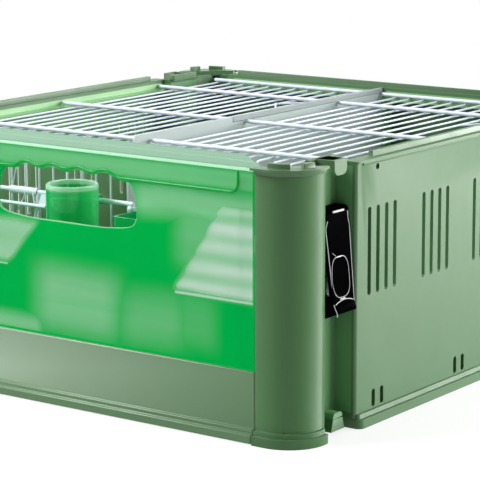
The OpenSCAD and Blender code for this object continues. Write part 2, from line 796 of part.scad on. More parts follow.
module clear_front() {
  t = clear_t;
  ft = flange_t();
  r = clear_edge_r;
  y1 = flange_d;
  cut_y = y1 - flange_cut;
  color(CLEAR) union() {
    difference() {
      translate([-panel_hw, -hy, 0]) rotate([90, 0, 90]) linear_extrude(2 * panel_hw) {
        translate([0, clear_z0]) square([t, clear_z1 - r - clear_z0]);
        translate([r, clear_z1 - ft]) square([flange_step - r, ft]);
        translate([r, clear_z1 - r]) circle(r = r);
        translate([flange_step - t, clear_z1 - ft - 1]) square([y1 - flange_step + t, ft]);
      }
      translate([-grip_shift, 1 - hy + t, 0]) rotate([90, 0, 0]) linear_extrude(t + 2)
        polygon(hole_line());
      both_sides() translate([0, -hy, clear_z1 - 2 * ft]) linear_extrude(3 * ft)
        polygon([[panel_hw, cut_y], [panel_hw - flange_cut + 3, y1 - 3],
                 [panel_hw - flange_cut - 4, y1], [panel_hw - flange_cut - 4, y1 + 9],
                 [panel_hw + 9, y1 + 9], [panel_hw + 9, cut_y]]);
    }
    translate([-grip_shift, -hy, 0]) rotate([90, 0, 0]) linear_extrude(bead_out)
      polygon(concat(bead_line(-bead_w / 2), reversed(bead_line(bead_w / 2))));
  }
}

module panel_tongues() {
  guide_t = 2;
  y0 = -hy + clear_t;
  x1 = col_in - 10.4 - slide_gap;
  z0 = clear_z0 + 6;
  z1 = clear_z1 - flange_t() - 4;
  color(CLEAR) both_sides() union() {
    translate([x1 - 2, y0, z0]) cube([2, guide_t + 2 * slide_gap + 1.8, z1 - z0]);
    translate([x1 - 2, y0 + guide_t + 2 * slide_gap, z0]) cube([6, 1.8, z1 - z0]);
  }
}

// Litter tray

module litter_tray() {
  y0 = -hy + clear_t;
  l = body_d - wall_t - clear_t - 3;
  z0 = floor_t + 2 * rest_gap;
  w = 2 * (panel_hw - slide_gap);
  color(SAGE) difference() {
    translate([-w / 2, y0, z0]) linear_extrude(tray_wall_z - z0) square([w, l]);
    translate([-w / 2 + tray_t, y0 + tray_t, z0 + tray_t]) linear_extrude(rail_z)
      rounded(w - 2 * tray_t, l - 2 * tray_t, 8);
  }
}

module tray_front() {
  z0 = 0.5;
  color(SAGE) union() {
    translate([-panel_hw, -hy, z0]) cube([2 * panel_hw, clear_t, tray_front_z - z0]);
    translate([-panel_hw, -hy - foot_out / 2, z0])
      cube([2 * panel_hw, foot_out / 2, foot_top - z0]);
    translate([-panel_hw, -hy - foot_out, z0]) cube([2 * panel_hw, foot_out, foot_h - z0]);
  }
}

// Divider

module divider_sheet() {
  z0 = sill_top + rest_gap;
  y0 = grille_y - wire_d / 2;
  y1 = skirt_y - slide_gap;
  top_y = -hy + divider_run;
  strip_y = -hy + strip_run;
  r = 5;
  color(GREY) translate([divider_t / 2, 0, 0]) rotate([90, 0, -90]) mirror([1, 0, 0])
    linear_extrude(divider_t)
      polygon(concat([[y0, z0], [y1, z0], [y1, rim_z - strip_h], [strip_y, rim_z - strip_h],
                      [strip_y, rim_z]],
                     [for (a = [90:22.5:180]) [top_y + r + r * cos(a), rim_z - r + r * sin(a)]],
                     [[top_y, wire_z - bend_r], [y0, wire_z - bend_r - top_y + y0]]));
}

module divider_strip() {
  y0 = -hy + strip_run;
  color(GREY) translate([-strip_w / 2, y0, rim_z - strip_h])
    cube([strip_w, skirt_y - slide_gap - y0, strip_h]);
}

// Wire roof and grille, drawn for the right half

module roof_half() {
  clip_y = 70;
  clip_x = wire_first + 10 * wire_pitch;
  clip_z = wire_z + wire_d - weld;
  y_front = grille_y + bend_r;
  color(WIRE) union() {
    for (y = [-bar1_run, bar2_run, bar3_run])
      rod_x([bar_start, y, bar_z], bar_d, bar_end - bar_start);
    rod_x([bar_start, bar4_y, bar_z], bar_d, rear_bar_end - bar_start);
    for (k = [0:roof_count - 1]) {
      y0 = k < front_count ? y_front : -bar1_run - bar_d / 2;
      y1 = k < rear_count ? skirt_y - rest_gap : bar4_y + bar_d / 2;
      rod_y([wire_first + k * wire_pitch, y0, wire_z], wire_d, y1 - y0);
    }
    for (s = [-1, 1]) translate([clip_x - 5, clip_y + 16 * s, clip_z])
      rotate([0, 90, -s * atan(16 / 13)]) cylinder(d = wire_d, h = norm([16, 13]) + 0.6);
  }
}

module grille_half() {
  z0 = sill_top + rest_gap;
  z1 = wire_z - bend_r;
  low_z = z0 + 5;
  x0 = divider_t / 2 + slide_gap + deck_t + rest_gap;
  x1 = wire_first + (front_count - 1) * wire_pitch;
  color(WIRE) union() {
    for (k = [0:front_count - 1]) translate([wire_first + k * wire_pitch, grille_y, 0]) {
      rod_z([0, 0, z0], wire_d, z1 - z0);
      translate([0, bend_r, z1]) rotate([90, 0, 90]) rotate_extrude_quarter();
    }
    rod_x([x0, grille_y + (wire_d + bar_d) / 2 - weld, low_z], bar_d, x1 + 2 - x0);
  }
}

// A quarter of a ring, from straight left of the axis to straight above it.
module rotate_extrude_quarter() {
  rotate([0, 0, 90]) rotate_extrude(angle = 90) translate([bend_r, 0]) circle(d = wire_d);
}

module roof_wires_left() { mirror([1, 0, 0]) roof_half(); }
module roof_wires_right() { roof_half(); }
module front_grille_left() { mirror([1, 0, 0]) grille_half(); }
module front_grille_right() { grille_half(); }

// Feeding bay

module feeder_rod_left() {
  x0 = -groove_x + wall_t;
  x1 = 14;
  pad_y = rod_y + rod_d / 2 - 0.4;
  pad_l = grille_y - wire_d / 2 - rest_gap - pad_y;
  low_z = rod_z - low_rod_drop;
  low_y = rod_y - 4;
  knob_r = 2.8;
  color(WIRE) union() {
    rod_x([x0, rod_y, rod_z], rod_d, x1 - x0);
    rod_x([x0, rod_y, rod_z], 3 * rod_d, 2);
    rod_x([-sleeve_left - sleeve_l, rod_y, rod_z], rod_d + 2, sleeve_l);
    translate([x1 - rod_d / 2 - 0.2, rod_y, rod_z - 3.4]) sphere(r = knob_r);
    rod_z([x1 - rod_d / 2 - 0.2, rod_y, rod_z - 6.6], 3.6, 6);
    for (x = [-wire_first - 2 * wire_pitch, -wire_first - 9 * wire_pitch])
      translate([x - 2, pad_y, rod_z - 1.2]) cube([4, pad_l, 2.4]);
    rod_x([x0, low_y, low_z], rod_d - 0.6, -low_rod_end - x0);
    rod_x([x0, low_y, low_z], 2.6 * rod_d, 2);
    translate([-low_rod_end - brace_l, low_y - 0.8, low_z - 1]) rotate([90, 0, 90])
      linear_extrude(brace_l)
        polygon([[0, 0], [2, 0], [4.6, low_rod_drop], [2.8, low_rod_drop]]);
  }
}

module feeder_rod_right() {
  x1 = groove_x - wall_t;
  x0 = 19;
  color(WIRE) union() {
    rod_x([x0, rod_y, rod_z], rod_d, x1 - x0);
    rod_x([x1 - 2, rod_y, rod_z], 3 * rod_d, 2);
  }
}

// A plate that hooks over a cross rod, with its lip down behind the rod.
module over_rod(x, w) {
  t = 1.6;
  y0 = cup_back;
  y1 = rod_y + rod_d / 2 + slide_gap + t;
  z = rod_z + rod_d / 2 + rest_gap;
  union() {
    translate([x - w / 2, y0, z]) cube([w, y1 - y0, t]);
    translate([x - w / 2, y1 - t, rod_z - 3]) cube([w, t, z + t - rod_z + 3]);
    translate([x - w / 2, y0, z]) cube([w, 0.01 + slide_gap, t + 4]);
  }
}

module drinking_cup() {
  z0 = cup_z1 - cup_h;
  color(CLEAR) difference() {
    union() {
      translate([-cup_left, cup_y, z0]) cylinder(r = cup_r, h = cup_h);
      translate([-cup_left - 7, cup_back - 3, z0 + 20]) cube([14, 3, cup_h - 20]);
    }
    translate([-cup_left, cup_y, z0 + cup_t]) cylinder(r = cup_r - cup_t, h = cup_h);
  }
}

module cup_hook() { color(CLEAR) over_rod(-cup_left, cup_hook_w); }

module food_dish() {
  color(CLEAR) translate([dish_x0, cup_back - dish_d, dish_z1 - dish_h]) difference() {
    linear_extrude(dish_h) rounded(dish_w, dish_d, 4);
    translate([cup_t, cup_t, cup_t]) linear_extrude(dish_h)
      rounded(dish_w - 2 * cup_t, dish_d - 2 * cup_t, 4 - cup_t);
  }
}

module dish_hook() {
  mid = dish_x0 + dish_w / 2;
  stem_h = rod_z + rod_d / 2 + rest_gap + 2 - dish_z1;
  color(CLEAR) union() {
    over_rod(mid, dish_hook_w);
    translate([mid - dish_hook_w / 2, cup_back - 2, dish_z1]) cube([dish_hook_w, 2.4, stem_h]);
  }
}

base_floor();
side_deck_left();
side_deck_right();
front_sill();
left_wall();
right_wall();
rear_wall();
column_front_left();
column_front_right();
column_rear_left();
column_rear_right();
web_front_left();
web_front_right();
web_rear_left();
web_rear_right();
cap_front_left();
cap_front_right();
cap_rear_left();
cap_rear_right();
stack_catches();
stack_lugs();
panel_guides();
latch_bases();
latch_pins();
lever_front_left();
lever_front_right();
lever_rear_left();
lever_rear_right();
hook_front_left();
hook_front_right();
hook_rear_left();
hook_rear_right();
clear_front();
panel_tongues();
litter_tray();
tray_front();
divider_sheet();
divider_strip();
roof_wires_left();
roof_wires_right();
front_grille_left();
front_grille_right();
feeder_rod_left();
feeder_rod_right();
drinking_cup();
cup_hook();
food_dish();
dish_hook();
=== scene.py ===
"""Dresses the stackable wire-topped pet keeper in moulded sage plastic, clear green plastic and
coated wire."""

import json
from math import cos, pi, radians, sin

import bmesh
import bpy
import numpy as np
from mathutils import Matrix, Vector


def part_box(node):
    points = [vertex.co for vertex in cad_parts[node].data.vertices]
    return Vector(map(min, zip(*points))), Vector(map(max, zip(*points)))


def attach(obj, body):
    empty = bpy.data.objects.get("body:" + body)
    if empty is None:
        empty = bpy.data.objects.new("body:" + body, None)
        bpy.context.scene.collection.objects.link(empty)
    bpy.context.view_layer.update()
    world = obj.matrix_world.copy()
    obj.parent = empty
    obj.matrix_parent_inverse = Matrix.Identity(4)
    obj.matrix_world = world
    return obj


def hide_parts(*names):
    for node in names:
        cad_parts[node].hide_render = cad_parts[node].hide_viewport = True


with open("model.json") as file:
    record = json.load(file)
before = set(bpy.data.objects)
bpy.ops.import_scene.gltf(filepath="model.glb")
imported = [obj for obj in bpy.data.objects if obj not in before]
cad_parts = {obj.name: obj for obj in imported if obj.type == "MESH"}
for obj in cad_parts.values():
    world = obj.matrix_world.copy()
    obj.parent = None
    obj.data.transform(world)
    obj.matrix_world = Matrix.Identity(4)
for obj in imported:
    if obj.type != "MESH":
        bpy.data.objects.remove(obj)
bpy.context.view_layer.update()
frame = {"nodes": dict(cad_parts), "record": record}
NODES = frame["nodes"]


# --- Camera -----------------------------------------------------------------------------------

def aim_camera():
    """One long lens at the height of a person leaning over a table, seen from the front right."""
    yaw, pitch, roll = radians(35.903), radians(11.222), radians(-0.186)
    spot = (0.9108, -1.2624, 0.3881)
    focal_px, width_px = 2233.47, 480
    look = Vector((-sin(yaw) * cos(pitch), cos(yaw) * cos(pitch), -sin(pitch)))
    right = Vector((cos(yaw), sin(yaw), 0))
    up = right.cross(look)
    across = right * cos(roll) + up * sin(roll)
    upward = up * cos(roll) - right * sin(roll)
    turn = Matrix((across, upward, -look)).transposed().to_4x4()
    data = bpy.data.cameras.new("camera")
    data.sensor_width = 36
    data.lens = focal_px / width_px * data.sensor_width
    data.clip_end = 100
    camera = bpy.data.objects.new("camera", data)
    camera.matrix_world = Matrix.Translation(spot) @ turn
    bpy.context.scene.collection.objects.link(camera)
    bpy.context.scene.camera = camera


# --- Materials --------------------------------------------------------------------------------

NOISE_BAND = (0.3, 0.7)  # most of a noise texture's values lie between these
# Pale green of the painted highlights on the clear front's edges.
EDGE_HIGHLIGHT_GREEN = (0.70, 0.84, 0.74)
# Darker green painted on the clear front's upward flange: painted shade.
FLANGE_SHADE_GREEN = (0.04, 0.18, 0.10)
# Paler greens of the cup's painted highlight streaks and of the painted highlight on its rim.
CUP_STREAK_HIGHLIGHT, CUP_RIM_HIGHLIGHT = (0.16, 0.78, 0.36), (0.80, 0.96, 0.86)
# A paler tone painted round the latch grooves: painted light on faces in the grooves' shade.
GROOVE_PAINTED_LIGHT = (0.100, 0.250, 0.100)
MM = 0.001


class Look:
    """A node tree with one Principled shader, and short calls for the nodes this object needs."""

    def __init__(self, name, color, roughness, **sockets):
        self.material = bpy.data.materials.new(name)
        self.material.use_nodes = True
        self.tree = self.material.node_tree
        self.shader = self.tree.nodes["Principled BSDF"]
        self.set("Base Color", (*color, 1))
        self.set("Roughness", roughness)
        for socket, value in sockets.items():
            self.set(socket.replace("_", " "), value)

    def set(self, socket, value):
        self.shader.inputs[socket].default_value = value

    def add(self, kind, **props):
        node = self.tree.nodes.new(kind)
        for key, value in props.items():
            if key in node.inputs:
                node.inputs[key].default_value = value
            else:
                setattr(node, key, value)
        return node

    def join(self, out, into):
        self.tree.links.new(out, into)

    def place(self, scale=(1, 1, 1)):
        """Object coordinates through a Mapping node, stretched by scale."""
        coords = self.add("ShaderNodeTexCoord")
        mapping = self.add("ShaderNodeMapping")
        mapping.inputs["Scale"].default_value = scale
        self.join(coords.outputs["Object"], mapping.inputs["Vector"])
        return mapping.outputs["Vector"]

    def noise(self, scale, detail=3, stretch=(1, 1, 1)):
        """Noise from 0 to 1 in object coordinates, drawn out by stretch."""
        node = self.add("ShaderNodeTexNoise", Scale=scale, Detail=detail, Roughness=0.5)
        self.join(self.place(stretch), node.inputs["Vector"])
        return node.outputs["Fac"]

    def span(self, value, low, high, out_low, out_high):
        """value carried from low..high to out_low..out_high, and held there beyond the ends."""
        node = self.add("ShaderNodeMapRange")
        for key, number in zip(("From Min", "From Max", "To Min", "To Max"),
                               (low, high, out_low, out_high)):
            node.inputs[key].default_value = number
        self.join(value, node.inputs["Value"])
        return node.outputs["Result"]

    def blend(self, fac, under, over):
        """under, a socket or a plain colour, covered by the plain colour over where fac is 1."""
        node = self.add("ShaderNodeMix", data_type="RGBA")
        if isinstance(under, tuple):
            node.inputs[6].default_value = (*under, 1)
        else:
            self.join(under, node.inputs[6])
        node.inputs[7].default_value = (*over, 1)
        self.join(fac, node.inputs[0])
        return node.outputs[2]

    def math(self, operation, a, b=None):
        """One Math node; a and b are sockets or numbers."""
        node = self.add("ShaderNodeMath", operation=operation)
        for k, value in enumerate((a, b)):
            if value is None:
                continue
            if isinstance(value, (int, float)):
                node.inputs[k].default_value = value
            else:
                self.join(value, node.inputs[k])
        return node.outputs[0]

    def axes(self):
        """Object coordinates as three sockets."""
        node = self.add("ShaderNodeSeparateXYZ")
        self.join(self.place(), node.inputs[0])
        return node.outputs

    def step(self, value, edge, soft):
        """0 below edge - soft, 1 above edge + soft, smooth between."""
        node = self.add("ShaderNodeMapRange")
        node.interpolation_type = "SMOOTHSTEP"
        node.inputs["From Min"].default_value = edge - soft
        node.inputs["From Max"].default_value = edge + soft
        self.join(value, node.inputs["Value"])
        return node.outputs["Result"]

    def inverse(self, value):
        """1 where value is 0, and 0 where it is 1."""
        return self.math("SUBTRACT", 1.0, value)

    def both(self, a, b):
        """1 where two masks are 1."""
        return self.math("MULTIPLY", a, b)

    def paint(self, color):
        self.join(color, self.shader.inputs["Base Color"])

    def wear(self, scale, detail, low, high):
        """Roughness that wanders between low and high."""
        noise = self.noise(scale, detail)
        self.join(self.span(noise, *NOISE_BAND, low, high), self.shader.inputs["Roughness"])

    def relief(self, height, strength, distance):
        """A bumped surface."""
        self.join(self.bump(height, strength, distance), self.shader.inputs["Normal"])

    def bump(self, height, strength, distance):
        node = self.add("ShaderNodeBump", Strength=strength, Distance=distance)
        self.join(height, node.inputs["Height"])
        return node.outputs["Normal"]


def window(look, x, z, x0, x1, z0, z1, soft):
    """1 inside a soft-edged window from x0 to x1 and from z0 to z1, 0 outside."""
    inside = look.both(look.step(x, x0, soft), look.inverse(look.step(x, x1, soft)))
    upright = look.both(look.step(z, z0, soft), look.inverse(look.step(z, z1, soft)))
    return look.both(inside, upright)


def block(look, half_x, half_y):
    """1 inside a block that stands in the middle of the cage, from its floor to its crown."""
    floor_z, crown_z, soft = 0.010, 0.1665, 0.0003
    x, y, z = look.axes()
    return look.both(window(look, x, z, -half_x, half_x, floor_z, crown_z, soft),
                     window(look, y, z, -half_y, half_y, floor_z, crown_z, soft))


def moulded(name, color, dark, roughness, inner=None, left_sheen=None, gloss=0.6):
    """Injection moulded plastic: faint flow marks in the colour and a fine spark-eroded grain.

    inner is a paler tone painted on the faces inside the cage, painted light that stands in for
    light falling inside it; the corners round the latch grooves take a paler groove tone, painted
    light as well. The other tone, given for the tray's front, paints it paler towards its left end:
    a painted sheen."""
    look = Look(name, color, roughness, Specular_IOR_Level=gloss)
    flow = look.span(look.noise(9, 2, (1, 1, 0.35)), 0.35, 0.65, 0, 1)
    tone = look.blend(flow, dark, color)
    if inner:
        half_x, half_y = 0.1755, 0.1885
        side_run, end_run = 0.1240, 0.1400
        cabin = look.math("MAXIMUM", block(look, half_x, side_run), block(look, end_run, half_y))
        # Painted light: the corners round the latch grooves take a paler tone.
        tone = look.blend(block(look, half_x, half_y), tone, GROOVE_PAINTED_LIGHT)
        # Painted light: the faces inside the cage take a paler tone, standing in for light that
        # falls inside.
        tone = look.blend(cabin, tone, inner)
    if left_sheen:
        x, _, z = look.axes()
        # Painted sheen: the tray's front grows paler towards its left end, where light glances off
        # it.
        left_sheen_mask = look.both(look.span(x, 0.17, -0.10, 0, 1), look.step(z, 0.0098, 0.0006))
        tone = look.blend(left_sheen_mask, tone, left_sheen)
    look.paint(tone)
    look.wear(45, 4, roughness - 0.05, roughness + 0.06)
    look.relief(look.noise(1800, 2), 0.25, 0.00008)
    return look.material


# Fields of painted reflection on the clear front: paler patches painted where reflections stand.
# Each row: the slanted measure it runs along, whether its edges wander, then left, right, lower
# and upper edge and softness in metres, and how pale it is.
WIDE = (-0.3, 0.3)
PANEL_REFLECTION_FIELDS = [
    ("x", False, *WIDE, 0.1565, 0.1675, 0.002, 0.32),
    ("x", False, *WIDE, 0.1683, 0.3, 0.0008, 0.05),
    ("x", True, 0.056, 0.2, 0.134, 0.1535, 0.007, 0.44),
    ("x", True, 0.086, 0.2, 0.104, 0.1535, 0.010, 0.28),
    ("x", False, 0.086, 0.146, 0.0868, 0.0884, 0.0008, 0.95),
    ("x", True, -0.027, 0.040, 0.052, 0.091, 0.013, 0.42),
    ("x", True, 0.044, 0.091, 0.052, 0.081, 0.013, 0.30),
    ("x", True, 0.086, 0.116, 0.054, 0.084, 0.009, 0.18),
    ("left_lean", True, -1, -0.133, 0.091, 0.119, 0.004, 0.66),
    ("x", True, -0.150, -0.024, 0.044, 0.056, 0.006, 0.46),
    ("x", False, -0.080, -0.052, 0.0886, 0.0896, 0.0006, 0.9)]
# Pitch of the painted reflection bands.
REFLECTION_BAND_PITCH = 0.0128


def panel_plastic(name, deep, pale):
    """Clear dyed plastic of the front: deep green, with paler fields of painted reflection broken
    by drawn-out streaks, painted highlights along the moulded edges, painted shade on the flange
    and a faint painted glow. Coordinates are metres in the shared frame."""
    look = Look(name, deep, 0.2)
    x, y, z = look.axes()
    drift = look.math("MULTIPLY", look.math("SUBTRACT", look.noise(16, 1), 0.5), 0.010)
    across = look.math("ADD", x, drift)
    upright = look.math("ADD", z, look.math("MULTIPLY", drift, 0.7))
    right_lean = look.math("SUBTRACT", across, look.math("MULTIPLY", z, 0.7))
    left_lean = look.math("SUBTRACT", across, look.math("MULTIPLY", z, 0.9))
    # Painted reflection: soft horizontal bands, then the paler fields of the table, all painted in
    # the colour.
    wave = look.math("SINE", look.math("MULTIPLY", z, 2 * pi / REFLECTION_BAND_PITCH))
    painted_reflection = look.both(look.span(wave, -1, 1, 0.62, 1.0),
                     window(look, right_lean, upright, 0.0205, 1, 0.088, 0.146, 0.004))
    painted_reflection = look.math("MULTIPLY", painted_reflection, 0.98)
    for along, wanders, *edges, soft, amount in PANEL_REFLECTION_FIELDS:
        run = left_lean if along == "left_lean" else across if wanders else x
        mask = window(look, run, upright if wanders else z, *edges, soft)
        painted_reflection = look.math("MAXIMUM", painted_reflection, look.math("MULTIPLY", mask, amount))
    # Drawn-out streaks break up the painted reflection.
    streak = look.span(look.noise(30, 2, (0.14, 0.3, 2.6)), *NOISE_BAND, 0.76, 1.12)
    painted_reflection = look.math("MULTIPLY", painted_reflection, streak)
    rim = look.math("ADD", look.step(x, 0.1452, 0.0003), look.inverse(look.step(z, 0.0470, 0.0003)))
    painted_reflection = look.both(painted_reflection, look.inverse(look.math("MINIMUM", rim, 1.0)))
    flange = look.step(z, 0.1683, 0.0006)
    # Painted highlights: a pale line along the rounded top edge, and paler cut edges at the ledge
    # and hand hole.
    edge = look.step(look.math("SUBTRACT", z, y), 0.3605, 0.0002)
    ledge = window(look, y, z, -0.1690, -0.1674, 0.167, 0.3, 0.0003)
    hole = window(look, y, z, -0.1918, -0.1898, 0.1195, 0.1300, 0.0002)
    cut_edges = look.math("MULTIPLY", look.math("MAXIMUM", ledge, hole), 0.6)
    light = look.math("MAXIMUM", edge, cut_edges)
    # The upward flange is painted darker: painted shade against the light from above.
    tone = look.blend(flange, look.blend(painted_reflection, deep, pale), FLANGE_SHADE_GREEN)
    look.paint(look.blend(light, tone, EDGE_HIGHLIGHT_GREEN))
    look.join(look.span(painted_reflection, 0, 0.7, 0.14, 0.34), look.shader.inputs["Roughness"])
    look.relief(look.noise(160, 1, (1, 1, 0.3)), 0.04, 0.00005)
    look.set("Transmission Weight", 0.45)
    look.set("IOR", 1.12)
    look.set("Specular IOR Level", 0.15)
    look.set("Specular Tint", (0.3, 1.0, 0.5, 1))
    # A faint painted glow in the deep green.
    look.set("Emission Color", (*deep, 1))
    look.set("Emission Strength", 0.12)
    return look.material


def clear_plastic(name, color, clear, roughness, glow, rim=None):
    """Clear dyed plastic: light passes through and takes the dye, the surface keeps its gloss, and
    glow adds a faint painted glow in the dye colour.

    rim is the height where the thick rim starts and takes a paler band of painted highlight; below
    it the wall carries streaks of painted highlight."""
    look = Look(name, color, roughness)
    if rim:
        # Painted highlights: pale streaks up the cup's wall and a pale band on its rim.
        streaks = look.span(look.noise(90, 1, (1, 1, 0.05)), 0.35, 0.65, 0, 1)
        wall = look.blend(streaks, color, CUP_STREAK_HIGHLIGHT)
        look.paint(look.blend(look.step(look.axes()[2], rim, 0.0012), wall, CUP_RIM_HIGHLIGHT))
    look.relief(look.noise(120, 2), 0.08, 0.0001)
    look.wear(40, 3, roughness, roughness + 0.06)
    look.set("Transmission Weight", clear)
    look.set("IOR", 1.3)
    look.set("Emission Color", (*color, 1))
    look.set("Emission Strength", glow)
    return look.material


def simple(name, color, roughness, **sockets):
    """A plain finish with a fine grain and a slightly uneven shine."""
    look = Look(name, color, roughness, **sockets)
    look.relief(look.noise(900, 2), 0.2, 0.00005)
    look.wear(60, 3, roughness - 0.04, roughness + 0.06)
    return look.material


SAGE_TONES = (0.054, 0.140, 0.049), (0.049, 0.131, 0.044)
SAGE = moulded("sage_moulded", *SAGE_TONES, 0.35)
COLUMN = moulded("sage_columns", *SAGE_TONES, 0.35, gloss=0.3)
# The litter tray is painted about twice as pale as the walls: painted light inside the cage.
TROUGH = moulded("sage_trough", (0.130, 0.300, 0.125), (0.120, 0.280, 0.115), 0.4)
# Walls: their inside faces and the corners round the latch grooves are painted paler, as painted
# light.
WALLS = moulded("sage_walls", *SAGE_TONES, 0.45, inner=(0.24, 0.50, 0.21))
# The tray's front carries a painted sheen, paler towards its left end.
TRAY = moulded("sage_tray", (0.072, 0.172, 0.066), (0.066, 0.162, 0.060), 0.35,
               left_sheen=(0.245, 0.345, 0.240))
# The clear front: deep green dye, and a paler colour for its painted reflections.
PANEL = panel_plastic("clear_green", (0.0, 0.415, 0.078), (0.60, 0.68, 0.63))
# The grip bead and the cup carry a faint painted glow in their dye.
BEAD = clear_plastic("bead_green", (0.0, 0.36, 0.055), 0.3, 0.12, 0.08)
CUP_GREEN = (0.02, 0.60, 0.19)
CUP = clear_plastic("cup_green", CUP_GREEN, 0.7, 0.05, 0.06)
CUP_RIM = clear_plastic("cup_rim", CUP_GREEN, 0.7, 0.05, 0.06, rim=0.1378)
WIRE = simple("coated_wire", (0.72, 0.76, 0.88), 0.35)
GREY = simple("grey_moulded", (0.27, 0.31, 0.31), 0.45)
# The divider sheet: paler than the grey strip and with a faint glow, painted light inside the cage.
SHEET = simple("grey_sheet", (0.34, 0.39, 0.39), 0.45,
               Emission_Color=(0.5, 0.58, 0.56, 1), Emission_Strength=0.11)
BLACK = simple("black_gloss", (0.0012, 0.0012, 0.0014), 0.12, IOR=1.01)
# Pale grey with a faint glow for the beads and bar on the black levers: painted highlights.
HIGHLIGHT_BEADS = simple("highlight_bead", (0.55, 0.56, 0.58), 0.2,
               Emission_Color=(0.8, 0.82, 0.85, 1), Emission_Strength=0.04)
STEEL = simple("plated_steel", (0.75, 0.76, 0.78), 0.25, Metallic=1.0)
FINISH = {"sage_plastic": SAGE, "clear_green": CUP, "white_wire": WIRE,
          "grey_plastic": GREY, "black_plastic": BLACK, "steel": STEEL}


def dress(obj, material):
    obj.data.materials.clear()
    obj.data.materials.append(material)


RECORD = frame["record"]
SLOT = {part["node"]: part["material_slot"] for part in RECORD["subparts"]}
BODY = {node: body for body, nodes in RECORD["behaviour"]["bodies"].items() for node in nodes}
for node, slot in SLOT.items():
    dress(NODES[node], FINISH[slot])


# --- Pieces -----------------------------------------------------------------------------------

SOFT_ANGLE = radians(38)


def box_of(node):
    """Both corners of a CAD node's box, in millimetres."""
    return [np.array(c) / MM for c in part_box(node)]


def place(name, data, node, material, replaces=()):
    """Makes an object of a mesh, smooth over soft angles, riding with the body of node."""
    obj = bpy.data.objects.new(name, data)
    bpy.context.scene.collection.objects.link(obj)
    data.polygons.foreach_set("use_smooth", [True] * len(data.polygons))
    data.set_sharp_from_angle(angle=SOFT_ANGLE)
    dress(obj, material)
    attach(obj, BODY[node])
    if replaces:
        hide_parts(*replaces)
    return obj


def softened(node, width, material):
    """The solid of a CAD node with its moulded edges rounded by width, in millimetres."""
    data = NODES[node].data.copy()
    work = bmesh.new()
    work.from_mesh(data)
    bmesh.ops.remove_doubles(work, verts=work.verts, dist=2e-6)
    bmesh.ops.dissolve_limit(work, angle_limit=radians(0.4), verts=work.verts, edges=work.edges)
    bmesh.ops.recalc_face_normals(work, faces=work.faces)
    work.to_mesh(data)
    work.free()
    obj = place(node + "_moulded", data, node, material, (node,))
    bevel = obj.modifiers.new("edges", "BEVEL")
    bevel.width = width * MM
    bevel.segments = 2
    bevel.limit_method = "ANGLE"
    bevel.angle_limit = SOFT_ANGLE
    bevel.use_clamp_overlap = True
    bevel.miter_outer = "MITER_ARC"


def grid_faces(grid, closed_rows=False, closed_cols=False):
    """Points and four-sided faces of a grid of points, shape (rows, columns, 3)."""
    rows, cols = grid.shape[:2]
    index = np.arange(rows * cols).reshape(rows, cols)
    down = np.concatenate([index, index[:1]]) if closed_rows else index
    wide = np.concatenate([down, down[:, :1]], axis=1) if closed_cols else down
    quads = np.stack([wide[:-1, :-1], wide[:-1, 1:], wide[1:, 1:], wide[1:, :-1]], axis=-1)
    return grid.reshape(-1, 3), quads.reshape(-1, 4).tolist()


def carried(path, radius, sides=8):
    """A circle of the given radius carried along a path, with a rounded end at each tip.

    Ring k is path[k] + radius * (cos(t) * a + sin(t) * b), where a and b are square to the path;
    at the tips three more rings shrink by cos(e) while they move out by radius * sin(e)."""
    path = np.asarray(path, dtype=float)
    along = np.gradient(path, axis=0)
    along /= np.linalg.norm(along, axis=1, keepdims=True)
    swell = np.radians([80, 50, 22])
    head = path[0] - radius * np.sin(swell)[:, None] * along[0]
    tail = path[-1] + radius * np.sin(swell[::-1])[:, None] * along[-1]
    centre = np.concatenate([head, path, tail])
    size = np.concatenate([np.cos(swell), np.ones(len(path)), np.cos(swell[::-1])]) * radius
    aim = np.concatenate([np.repeat(along[:1], 3, 0), along, np.repeat(along[-1:], 3, 0)])
    side = np.zeros_like(aim)
    seed = np.array([0.0, 0, 1]) if abs(aim[0][2]) < 0.9 else np.array([0.0, 1, 0])
    for k, direction in enumerate(aim):
        seed = seed - direction * seed.dot(direction)
        seed /= np.linalg.norm(seed)
        side[k] = seed
    other = np.cross(aim, side)
    t = np.linspace(0, 2 * pi, sides, endpoint=False)
    ring = side[:, None] * np.cos(t)[None, :, None] + other[:, None] * np.sin(t)[None, :, None]
    points = centre[:, None] + size[:, None, None] * ring
    index = np.arange(len(centre) * sides).reshape(-1, sides)
    ahead = np.roll(index, -1, axis=1)
    quads = np.stack([index[:-1], ahead[:-1], ahead[1:], index[1:]], axis=-1).reshape(-1, 4)
    tips = [index[0][::-1].tolist(), index[-1].tolist()]
    return points.reshape(-1, 3), quads.tolist() + tips


def joined(name, parts):
    """One mesh from a list of (points, faces)."""
    points, faces, start = [], [], 0
    for p, f in parts:
        points.append(p)
        faces += [[v + start for v in face] for face in f]
        start += len(p)
    data = bpy.data.meshes.new(name)
    data.from_pydata(np.concatenate(points).tolist(), [], faces)
    data.validate()
    return data


def recalculated(data):
    """The same mesh with all its faces turned outwards."""
    work = bmesh.new()
    work.from_mesh(data)
    bmesh.ops.recalc_face_normals(work, faces=work.faces)
    work.to_mesh(data)
    work.free()
    return data


# Roof and grille wires, one bent wire after another, under the cross bars

